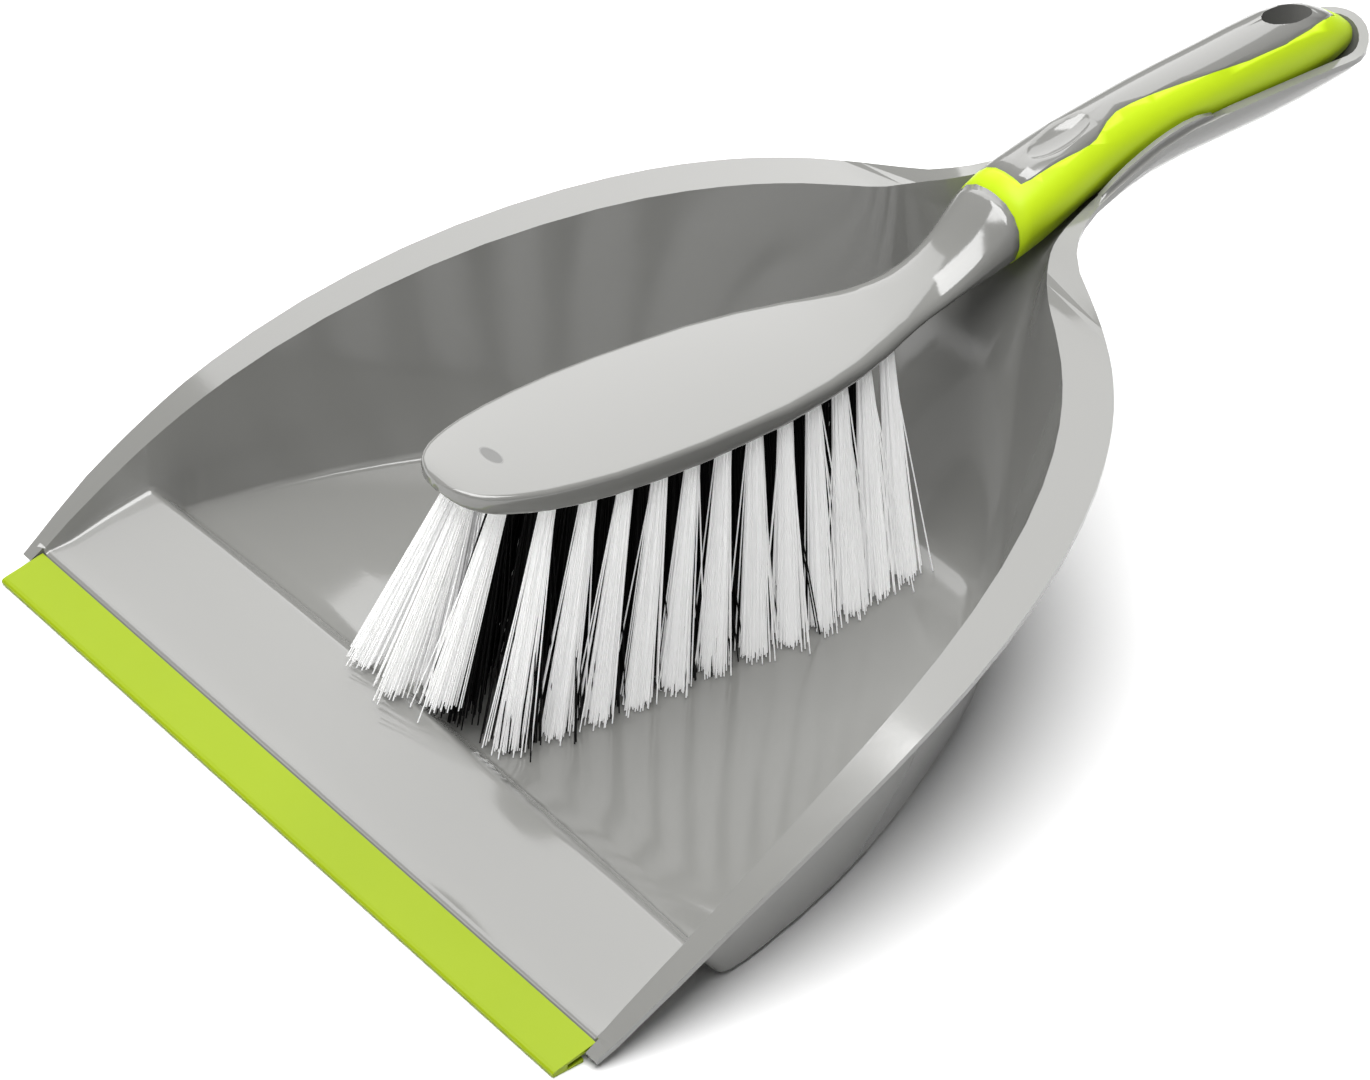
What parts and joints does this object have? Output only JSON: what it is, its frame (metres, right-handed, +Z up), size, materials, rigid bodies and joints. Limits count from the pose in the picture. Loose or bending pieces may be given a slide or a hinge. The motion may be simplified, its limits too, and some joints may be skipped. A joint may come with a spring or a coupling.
{
  "type": "dust pan and brush set",
  "caption": "Covered-lip dust pan with a trough handle and a hand brush of straight bristle tufts lying in it, its soft grip clipped into the trough",
  "frame": {"origin": "middle of the set's footprint, on the ground plane the pan rests on", "axes": "+Z up, +Y from the pan's lip towards the handles, X across the pan"},
  "size_m": [0.23, 0.3539, 0.1132],
  "materials": {
    "grey_plastic": "semi-gloss moulded polypropylene",
    "lime_rubber": "satin thermoplastic rubber",
    "white_bristle": "straight translucent white synthetic bristle",
    "dark_bristle": "straight black synthetic bristle"
  },
  "bodies": {
    "pan": {"pan_shell": "grey_plastic", "pan_lip": "lime_rubber"},
    "brush": {"brush_body": "grey_plastic", "soft_grip": "lime_rubber", "tuft_far_01": "white_bristle", "tuft_far_02": "white_bristle", "tuft_far_03": "white_bristle", "tuft_far_04": "white_bristle", "tuft_far_05": "white_bristle", "tuft_far_06": "white_bristle", "tuft_far_07": "white_bristle", "tuft_far_08": "white_bristle", "tuft_far_09": "white_bristle", "tuft_far_10": "white_bristle", "tuft_far_11": "white_bristle", "tuft_far_12": "white_bristle", "tuft_far_13": "white_bristle", "tuft_front_01": "white_bristle", "tuft_inner_01": "dark_bristle", "tuft_inner_02": "dark_bristle", "tuft_inner_03": "dark_bristle", "tuft_inner_04": "dark_bristle", "tuft_inner_05": "dark_bristle", "tuft_inner_06": "dark_bristle", "tuft_inner_07": "dark_bristle", "tuft_inner_08": "dark_bristle", "tuft_inner_09": "dark_bristle", "tuft_inner_10": "dark_bristle", "tuft_inner_11": "dark_bristle", "tuft_inner_12": "dark_bristle", "tuft_inner_13": "dark_bristle", "tuft_inner_14": "dark_bristle", "tuft_inner_15": "dark_bristle", "tuft_inner_16": "dark_bristle", "tuft_inner_17": "dark_bristle", "tuft_inner_18": "dark_bristle", "tuft_middle_01": "dark_bristle", "tuft_middle_02": "dark_bristle", "tuft_middle_03": "dark_bristle", "tuft_near_01": "white_bristle", "tuft_near_02": "white_bristle", "tuft_near_03": "white_bristle", "tuft_near_04": "white_bristle", "tuft_near_05": "white_bristle", "tuft_near_06": "white_bristle", "tuft_near_07": "white_bristle", "tuft_near_08": "white_bristle", "tuft_near_09": "white_bristle", "tuft_near_10": "white_bristle", "tuft_near_11": "white_bristle", "tuft_near_12": "white_bristle", "tuft_near_13": "white_bristle"}
  },
  "joints": [
    {"name": "brush_lift", "type": "slide", "parent": "pan", "child": "brush", "axis": [0, 0, 1], "range_m": [0, 0.25]}
  ]
}
